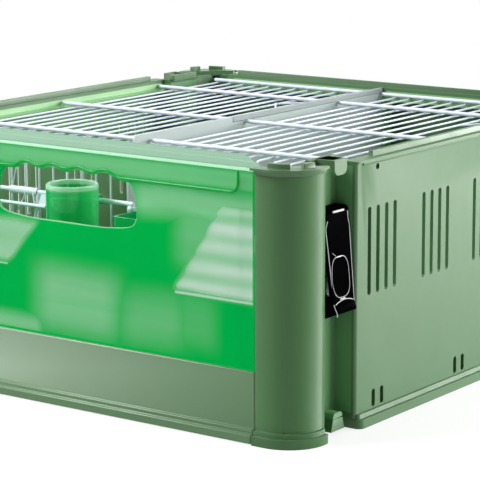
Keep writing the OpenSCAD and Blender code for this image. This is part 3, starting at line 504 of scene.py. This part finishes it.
def roof_half(side, name, roof, grille):
    """The welded wires of one roof half.

    Wire k stands in the grille plane, turns back over a quarter circle and runs to the rear:
    x = side * (first + k * pitch). The bars lie across, sunk a little into the wires."""
    low, high = box_of(roof)
    g_low, _ = box_of(grille)
    wire_r, bar_r, clip_r, pitch, first, bend = 0.74, 1.5, 0.65, 12.5, 15, 5
    wire_z, bar_z = low[2] + 0.85, high[2] - bar_r
    grille_y, foot_z, rear_y = g_low[1] + 0.85, g_low[2], high[1]
    bars, last_bar, short_end = (-107, 2, 119), 178, 155.5
    turn = np.linspace(0, pi / 2, 6)
    paths = []
    for k in range(11):
        x = side * (first + k * pitch)
        arc = np.stack([np.full(6, x), grille_y + bend * (1 - np.cos(turn)),
                        wire_z - bend * (1 - np.sin(turn))], axis=1)
        path = [[x, grille_y, foot_z + wire_r], *arc, [x, rear_y - wire_r, wire_z]]
        paths.append((path, wire_r, 8))
    x = side * (first + 11 * pitch)
    paths.append(([[x, bars[0] - bar_r, wire_z], [x, last_bar + bar_r, wire_z]], wire_r, 8))
    x_in, x_out = sorted((abs(low[0]), abs(high[0])))
    for y, end in [*[(y, x_out - bar_r) for y in bars], (last_bar, short_end)]:
        paths.append(([(side * (x_in + bar_r), y, bar_z), (side * end, y, bar_z)], bar_r, 10))
    foot = grille_y + 2.05, foot_z + 5
    paths.append(([(side * 5.6, *foot), (side * 140.5, *foot)], bar_r, 10))
    clip_x, clip_y, clip_z = 140 if side > 0 else 28, 88, wire_z + 1.5
    for s in (-1, 1):
        path = [[side * (clip_x - 6), clip_y + 17 * s, clip_z],
                [side * (clip_x + 3), clip_y + 4 * s, clip_z + 0.4],
                [side * (clip_x + 6), clip_y, clip_z + 0.4]]
        paths.append((path, clip_r, 8))
    parts = [carried(np.array(path) * MM, r * MM, sides) for path, r, sides in paths]
    place(name, joined(name, parts), roof, WIRE, (roof, grille))


roof_half(-1, "wires_left", "roof_wires_left", "front_grille_left")
roof_half(1, "wires_right", "roof_wires_right", "front_grille_right")

# Spring wires and bracket legs on the left feeder rod

def feeder_wires():
    """Thin wires carried along short bent paths (x, z) in the plane of the feeder rod."""
    rod_y = -143.9
    paths = [([(-83.8, 149), (-88.8, 131.5)], 0.45), ([(-77, 127.3), (-88.5, 107)], 0.5),
             ([(-70.5, 126), (-68.6, 116), (-70.6, 103)], 0.9),
             ([(-66.4, 126), (-65.4, 117), (-67.4, 104)], 0.9)]
    data = joined("feeder_wires", [carried(np.array([(x, rod_y, z) for x, z in path]) * MM, r * MM)
                                   for path, r in paths])
    place("feeder_wires", data, "feeder_rod_left", WIRE)


feeder_wires()

# Moulded parts with their edges rounded

CORNERS = [("front_left", -1, -1), ("front_right", 1, -1),
           ("rear_left", -1, 1), ("rear_right", 1, 1)]
ROUNDED = {"left_wall": 0.45, "right_wall": 0.45, "rear_wall": 0.45, "stack_catches": 0.35,
           "stack_lugs": 0.5, "side_deck_left": 0.4, "side_deck_right": 0.4, "front_sill": 0.4}
for node, width in ROUNDED.items():
    softened(node, width, WALLS)
for corner, _, _ in CORNERS:
    softened("column_" + corner, 0.9, COLUMN)
    softened("cap_" + corner, 0.35, SAGE)
for node, width, finish in [("tray_front", 0.9, TRAY), ("litter_tray", 0.4, TROUGH),
                            ("divider_sheet", 0.4, SHEET), ("divider_strip", 0.6, GREY),
                            ("latch_bases", 0.3, BLACK)]:
    softened(node, width, finish)
for node, slot in SLOT.items():
    if slot == "sage_plastic" and not node.startswith(("column", "cap", "tray")):
        dress(NODES[node], WALLS)
dress(NODES["panel_tongues"], PANEL)


# The clear front: a plate with a hand hole, its flange, and the scalloped grip bead

GRIP_X, BEAD_Z = -1.5, 154.8
HOLE_HW, HOLE_LOW = 58.5, -34.0
FRONT_Y, PLATE_T = -192.0, 2.5


def scallop(x):
    """Height of the grip bead over its straight run, at x from the middle of the grip.

    mean less amp times the cosine of the way along a wave, over three waves, and beyond them
    half a cosine that eases from the last crest to 0."""
    pitch, run, mean, amp = 22, 12, 2.9, 1.05
    wide = 1.5 * pitch
    away = np.abs(x)
    ease = (mean + amp) * (1 + np.cos(pi * np.clip((away - wide) / run, 0, 1))) / 2
    return np.where(away < wide, mean - amp * np.cos(2 * pi * x / pitch), ease)


def hole_outline():
    """The hand hole, anticlockwise from the middle of its lower edge: finger waves on top."""
    side = [(11.5, -1.3), (6.3, -1.7), (3.6, -4), (2.2, -7), (0.9, -12.6), (0, -20),
            (0.3, HOLE_LOW + 9), (2, HOLE_LOW + 5.6), (4.6, HOLE_LOW + 3.6), (8.5, HOLE_LOW + 2.6),
            (16, HOLE_LOW + 1.6), (26, HOLE_LOW + 0.7), (40, HOLE_LOW + 0.2)]
    right = np.array([(HOLE_HW - a, b) for a, b in side])[::-1]
    x = np.linspace(44, -44, 65)
    top = np.stack([x, scallop(x) - 1.2], axis=1)
    left = right[::-1] * np.array([-1, 1])
    points = np.concatenate([[[0, HOLE_LOW]], right, top, left])
    return points + np.array([GRIP_X, BEAD_Z])


def even(points, step):
    """A closed outline walked round again in steps of about the same length."""
    loop = np.concatenate([points, points[:1]])
    run = np.concatenate([[0], np.cumsum(np.linalg.norm(np.diff(loop, axis=0), axis=1))])
    at = np.linspace(0, run[-1], int(run[-1] / step), endpoint=False)
    return np.stack([np.interp(at, run, loop[:, 0]), np.interp(at, run, loop[:, 1])], axis=1)


def front_plate(x0, x1, z0, z1, y0, t):
    """The upright plate from x0 to x1 and z0 to z1, front face at y0, thickness t.

    Rings run from the hole's outline out to the plate's edge.
    A point is hole + f * (edge - hole), where edge is where the ray from the middle of the hole
    through that outline point meets the rectangle; the profile across a ring goes out along the
    front face, back along the rear face and closes over the hole's half-round edge."""
    hole = even(hole_outline(), 2.2)
    mid = np.array([GRIP_X, BEAD_Z - 17])
    turn = np.arctan2(*(hole - mid).T[::-1])
    corners = np.array([(x0, z0), (x1, z0), (x1, z1), (x0, z1)])
    want = np.arctan2(*(corners - mid).T[::-1])
    order = np.argsort(turn)
    turn, hole = turn[order], hole[order]
    for a in want:
        turn[np.argmin(np.abs(np.angle(np.exp(1j * (turn - a)))))] = a
    ray = np.stack([np.cos(turn), np.sin(turn)], axis=1)
    with np.errstate(divide="ignore"):
        gap_x = np.where(ray[:, 0] > 0, x1 - mid[0], x0 - mid[0]) / ray[:, 0]
        gap_z = np.where(ray[:, 1] > 0, z1 - mid[1], z0 - mid[1]) / ray[:, 1]
    edge = mid + ray * np.minimum(gap_x, gap_z)[:, None]
    f = np.array([0, 0.05, 0.15, 0.3, 0.45, 0.6, 0.75, 0.9, 1.0])
    face = hole[:, None] + f[None, :, None] * (edge - hole)[:, None]
    front = np.concatenate([face, np.full((*face.shape[:2], 1), y0)], axis=2)
    rear = np.concatenate([face[:, ::-1], np.full((*face.shape[:2], 1), y0 + t)], axis=2)
    inward = mid - hole
    inward /= np.linalg.norm(inward, axis=1, keepdims=True)
    bulge = np.radians([60, 30, 0, -30, -60])
    rim = hole[:, None] + inward[:, None] * (0.5 * t * np.cos(bulge))[None, :, None]
    depth = y0 + 0.5 * t + 0.5 * t * np.sin(bulge)
    lip = np.concatenate([rim, np.broadcast_to(depth[None, :, None], (*rim.shape[:2], 1))], axis=2)
    ring = np.concatenate([front, rear, lip], axis=1)
    return ring[:, :, [0, 2, 1]]


def front_flange(half, y0, z1):
    """The flange: x runs along the front and the profile goes over the rounded top edge.

    At x the upper side reaches back to end(x), which falls off towards the cut corners; its
    height is top - step(y), a drop of 1 behind the step line; the underside is 2.3 lower."""
    r, t = 2.2, 2.3
    x = np.concatenate([np.linspace(-half, -103.4, 16), np.linspace(-101, 101, 41),
                        np.linspace(103.4, half, 16)])
    end = np.interp(np.abs(x), [0, 103.4, 110.4, half - 0.6, half],
                    [-145, -145, -148, -183.4, -184])
    f = np.linspace(0, 1, 41)
    y = y0 + r + f[None, :] * (end[:, None] - y0 - r)
    drop = np.clip((y + 168.4) / 0.9, 0, 1)
    top = np.stack([y, z1 - drop], axis=-1)
    a = np.radians(np.linspace(0, 78, 7))
    bend = np.stack([y0 + r - r * np.cos(a), z1 - r + r * np.sin(a)], axis=-1)
    bend = np.broadcast_to(bend, (len(x), 7, 2))
    under = top[:, ::-1] - np.array([0, t])
    under = under[:, 2:-1]
    heel = np.broadcast_to(np.array([[y0 + 2.5, z1 - r - 0.4], [y0 + 2.5, z1 - r]]), (len(x), 2, 2))
    loop = np.concatenate([bend, top[:, 1:], under, heel[:, 1:]], axis=1)
    wide = np.broadcast_to(x[:, None, None], (*loop.shape[:2], 1))
    return np.concatenate([wide, loop], axis=2)


def capped(name, grid, closed_rows):
    """A mesh of a grid whose profile is closed; open ends get a flat face."""
    points, faces = grid_faces(grid, closed_rows, closed_cols=True)
    if not closed_rows:
        cols = grid.shape[1]
        faces += [list(range(cols))[::-1], list(range(len(points) - cols, len(points)))]
    data = bpy.data.meshes.new(name)
    data.from_pydata(points.tolist(), [], faces)
    return recalculated(data)


def clear_front():
    """Plate and flange of the clear front. They let light through, so they cast no shadow."""
    low, high = box_of("clear_front")
    plate = front_plate(low[0], high[0], low[2], high[2] - 2.2, FRONT_Y, PLATE_T)
    flange = front_flange(high[0], FRONT_Y, high[2])
    for name, grid, closed, replaces in [("front_plate", plate, True, ("clear_front",)),
                                         ("front_flange", flange, False, ())]:
        piece = place(name, capped(name, grid * MM, closed), "clear_front", PANEL, replaces)
        piece.visible_shadow = False


clear_front()


def bead_piece():
    """A half-round bead: down one side, round a corner, along the finger waves and up again."""
    _, high = box_of("clear_front")
    shift, inset, r, bead_z, top = -GRIP_X, 12.0, 6.0, BEAD_Z, high[2] - 2.6
    half = high[0] - inset + shift
    t = np.radians(np.linspace(0, 90, 9))
    waves = np.linspace(-half + 2 * shift + r + 2, half - r - 2, 150)
    x = np.concatenate([[-half + 2 * shift], -half + 2 * shift + r - r * np.cos(t), waves,
                        half - r + r * np.cos(t[::-1]), [half]])
    z = np.concatenate([[top], bead_z + r - r * np.sin(t), bead_z + scallop(waves),
                        bead_z + r - r * np.sin(t[::-1]), [top]])
    path = np.stack([x - shift, np.full(len(x), FRONT_Y - 0.05), z], axis=1) * MM
    place("grip_bead", joined("grip_bead", [carried(path, 0.95 * MM, 10)]), "clear_front", BEAD)


bead_piece()


# Latch levers: a dished cover over each lever plate

PIN_Z, COVER_FOOT = 139.0, -60.5
LEVER_X, LEVER_Y = 170, -143.5
PAD_Z, PAD_HALF, PAD_TALL, PAD_SHIFT = -38.6, 9.2, 12.6, 1.8
CREASE_Z, CREASE_RISE = -55.5, 2.6


def cover_half(z):
    """Half width of the cover: narrow between the ears, then wide and tapering to the foot."""
    return 13.5 + 2.4 * np.clip(z, -64, 0) / 64 - 1.6 * np.clip((z + 8) / 4, 0, 1)


def cover_out(y, z):
    """How far the cover stands out of the groove at height z from the pin, y from its middle.

    It leans out by 6.6 in 61, rolls back at its side edges, has a shallow oval dish for the
    thumb, steps out along an arched crease near the foot, and rolls in above the pin."""
    u = np.abs(y) / cover_half(z)
    lean = 6.6 * np.clip(-z / 61, 0, 1.1)
    roll = -2.0 * np.clip((u - 0.86) / 0.14, 0, 1) ** 2.0 * np.clip((-z - 1) / 6, 0, 1)
    pad_y, pad_z = np.abs(y + PAD_SHIFT) / PAD_HALF, np.abs(z - PAD_Z) / PAD_TALL
    oval = (pad_y ** 3 + pad_z ** 3) ** (1 / 3)
    dish = -0.55 * np.clip((1 - oval) / 0.1, 0, 1)
    arc = z - CREASE_Z - CREASE_RISE * (1 - u ** 2)
    lip = 1.6 * np.clip(-arc / 4, 0, 1) ** 1.2
    top = -2.2 * np.clip((z + 0.5) / 2.7, 0, 1) ** 2
    return 3.5 + lean + roll + dish + lip + top


def power(value, exponent):
    """value to a power, with its sign kept."""
    return np.sign(value) * np.abs(value) ** exponent


def lever_cover(corner, sx, sy):
    """Front shell of a latch lever with its rolled edge beads.

    The shell is a grid: u runs across, v down, y = u * cover_half(z), and it stands out by
    cover_out(y, z). The beads are thin round lines carried along lines drawn on that shell, in a
    pale grey with a faint glow: painted highlights on the black lever's edges, dish and crease."""
    def at(y, z, lift=0.0):
        y, z = np.broadcast_arrays(y, z)
        grid = np.stack([LEVER_X + cover_out(y, z) + lift, y + LEVER_Y, PIN_Z + z], axis=-1)
        return grid * MM * np.array([sx, -sy, 1.0])

    u = power(np.linspace(-1, 1, 41), 0.75)
    z = np.concatenate([np.linspace(2.4, -8, 14)[:-1], np.linspace(-8, COVER_FOOT, 60)])
    U, Z = np.meshgrid(u, z)
    foot = 1.5 * np.clip(np.abs(U) - 0.82, 0, 1) ** 2 / 0.03
    Z = np.where(Z < COVER_FOOT + 4, Z + foot * (COVER_FOOT + 4 - Z) / 4, Z)
    grid = at(U * cover_half(Z), Z)
    if sx * -sy < 0:
        grid = grid[:, ::-1]
    name = "lever_cover_" + corner
    obj = place(name, joined(name, [grid_faces(grid)]), "lever_" + corner, BLACK)
    thick = obj.modifiers.new("thickness", "SOLIDIFY")
    thick.thickness = 0.5 * MM
    thick.offset = -1
    left_z, right_z = np.linspace(-3.5, COVER_FOOT - 1.5, 26), np.linspace(0, CREASE_Z, 24)
    turn = np.linspace(0, 2 * pi, 49)
    across = np.linspace(-1, 0.95, 15)
    crease = CREASE_Z + CREASE_RISE * (1 - across ** 2)
    # y, z, lift off the shell, radius
    lines = [(-cover_half(left_z) + 0.3, left_z, 1.2, 0.26),
             (cover_half(right_z) * 0.93, right_z, 0.75, 0.27),
             (PAD_HALF * power(np.cos(turn), 2 / 3) - PAD_SHIFT,
              PAD_TALL * power(np.sin(turn), 2 / 3) + PAD_Z, 0.45, 0.17),
             (across * cover_half(crease), crease, 0.4, 0.28),
             (np.array([-12.4, -9, -5.5]), np.array([-20.5, -23.2, -25.5]), 0.4, 0.16)]
    lines += [(np.linspace(-2.6, 2.6, 3) - PAD_SHIFT, np.full(3, z), 0.3, 0.42)
              for z in (-26.4, -52.2)]
    beads = joined("lever_beads", [carried(at(y, z, lift), r * MM) for y, z, lift, r in lines])
    place("lever_beads_" + corner, beads, "lever_" + corner, HIGHLIGHT_BEADS)
    # The bar over the pin carries the same painted highlight.
    bar = [(sx * 175.0, -sy * y, PIN_Z + 1.6) for y in (-149.5, -138.5)]
    name = "lever_bar_" + corner
    place(name, joined(name, [carried(np.array(bar) * MM, 0.7 * MM)]), "lever_" + corner, HIGHLIGHT_BEADS)


for corner, sx, sy in CORNERS:
    softened("lever_" + corner, 0.3, BLACK)
    lever_cover(corner, sx, sy)


# Drinking cup: a turned shell with a thick rounded rim

def cup_piece():
    """A profile turned round the cup's axis: floor, rounded heel, wall, rolled rim, and back."""
    low, high = box_of("drinking_cup")
    centre = (low[0] + high[0]) / 2
    r = (high[0] - low[0]) / 2
    axis_y = low[1] + r
    z0, z1, wall, heel, roll_r, sides = low[2], high[2], 1.6, 4.0, 1.2, 48
    t = np.radians(np.linspace(-90, 0, 7))
    outer = np.stack([r - heel + heel * np.cos(t), z0 + heel + heel * np.sin(t)], axis=1)
    rim = np.radians(np.linspace(0, 180, 9))
    roll = np.stack([r - roll_r + roll_r * np.cos(rim), z1 - roll_r + roll_r * np.sin(rim)], axis=1)
    inner_r, back = heel - wall, t[::-1]
    inner = np.stack([r - heel + inner_r * np.cos(back),
                      z0 + heel + inner_r * np.sin(back)], axis=1)
    profile = np.concatenate([[[0.01, z0]], outer, [[r, z1 - 3]], roll, [[r - wall, z1 - 4]], inner,
                              [[0.01, z0 + wall]]])
    a = np.linspace(0, 2 * pi, sides, endpoint=False)
    out = profile[:, None, 0]
    grid = np.stack([centre + out * np.cos(a), axis_y + out * np.sin(a),
                     np.repeat(profile[:, 1:], sides, axis=1)], axis=-1) * MM
    name = "drinking_cup_turned"
    data = joined(name, [grid_faces(grid, closed_cols=True)])
    place(name, data, "drinking_cup", CUP_RIM, ("drinking_cup",))


cup_piece()


# --- Studio -----------------------------------------------------------------------------------

def seen(tree):
    """1 for a ray from the camera and for one that shines off or through a surface, else 0."""
    path = tree.nodes.new("ShaderNodeLightPath")
    total = path.outputs["Is Camera Ray"]
    for kind in ("Is Glossy Ray", "Is Transmission Ray"):
        node = tree.nodes.new("ShaderNodeMath")
        node.operation = "MAXIMUM"
        tree.links.new(total, node.inputs[0])
        tree.links.new(path.outputs[kind], node.inputs[1])
        total = node.outputs[0]
    return total


def floor():
    """A pale floor: a glow makes it white to the camera, and its shaded part keeps the shadow."""
    mesh = bpy.data.meshes.new("floor")
    s, near, blend_width = 6, 0.65, 0.3
    mesh.from_pydata([(-s, -s, 0), (s, -s, 0), (s, s, 0), (-s, s, 0)], [], [(0, 1, 2, 3)])
    obj = bpy.data.objects.new("floor", mesh)
    bpy.context.scene.collection.objects.link(obj)
    look = Look("pale_floor", (0.68, 0.68, 0.68), 0.9)

    def shaders(kind, fac, first, second):
        node = look.add(kind)
        sockets = node.inputs if fac is None else [node.inputs[1], node.inputs[2]]
        if fac is not None:
            look.join(fac, node.inputs[0])
        look.join(first, sockets[0])
        look.join(second, sockets[1])
        return node.outputs[0]

    glow = look.add("ShaderNodeEmission", Color=(1, 1, 1, 1), Strength=0.72)
    shade = look.add("ShaderNodeBsdfDiffuse", Color=(0.32, 0.32, 0.32, 1))
    far = look.add("ShaderNodeEmission", Color=(1, 1, 1, 1), Strength=1.0)
    reach = look.add("ShaderNodeVectorMath", operation="LENGTH")
    look.join(look.place(), reach.inputs[0])
    close = shaders("ShaderNodeAddShader", None, glow.outputs[0], shade.outputs[0])
    ground = shaders("ShaderNodeMixShader", look.step(reach.outputs["Value"], near, blend_width),
                     close, far.outputs[0])
    surface = shaders("ShaderNodeMixShader", seen(look.tree), look.shader.outputs[0], ground)
    look.join(surface, look.tree.nodes["Material Output"].inputs["Surface"])
    dress(obj, look.material)


def lamp(name, spot, target, size, watts):
    """A soft rectangular lamp at spot, turned to target, its size in metres."""
    data = bpy.data.lights.new(name, "AREA")
    data.shape = "RECTANGLE"
    data.size, data.size_y = size
    data.energy = watts
    obj = bpy.data.objects.new(name, data)
    obj.location = spot
    obj.rotation_euler = (Vector(target) - Vector(spot)).to_track_quat("-Z", "Y").to_euler()
    bpy.context.scene.collection.objects.link(obj)


def studio():
    """White to the camera, a low even fill on the cage, and soft lamps round it."""
    world = bpy.data.worlds.new("studio")
    bpy.context.scene.world = world
    world.use_nodes = True
    tree = world.node_tree
    back = tree.nodes["Background"]
    back.inputs[0].default_value = (1, 1, 1, 1)
    back.inputs[1].default_value = 0.16
    white = tree.nodes.new("ShaderNodeBackground")
    white.inputs[1].default_value = 1.0
    mix = tree.nodes.new("ShaderNodeMixShader")
    tree.links.new(seen(tree), mix.inputs[0])
    tree.links.new(back.outputs[0], mix.inputs[1])
    tree.links.new(white.outputs[0], mix.inputs[2])
    tree.links.new(mix.outputs[0], tree.nodes["World Output"].inputs["Surface"])
    lamp("right_softbox", (1.8, 0.9, 0.80), (0.15, 0, 0.08), (1.1, 1.1), 44)
    lamp("back_right_card", (1.0, 1.45, 0.18), (0.18, 0.05, 0.08), (1.1, 0.7), 34)
    lamp("left_softbox", (-1.0, -0.95, 1.45), (-0.05, -0.19, 0.06), (0.9, 0.9), 42)
    lamp("front_left_card", (-1.3, -0.45, 0.12), (-0.1, -0.19, 0.05), (0.6, 0.4), 8)
    lamp("back_left_card", (-1.1, 1.6, 0.45), (0, 0, 0.17), (1.4, 0.5), 2)
    lamp("top_softbox", (-0.2, 0.5, 2.0), (0, 0, 0.1), (1.6, 1.6), 12)


aim_camera()
floor()
studio()
bpy.context.scene.view_settings.view_transform = "Standard"
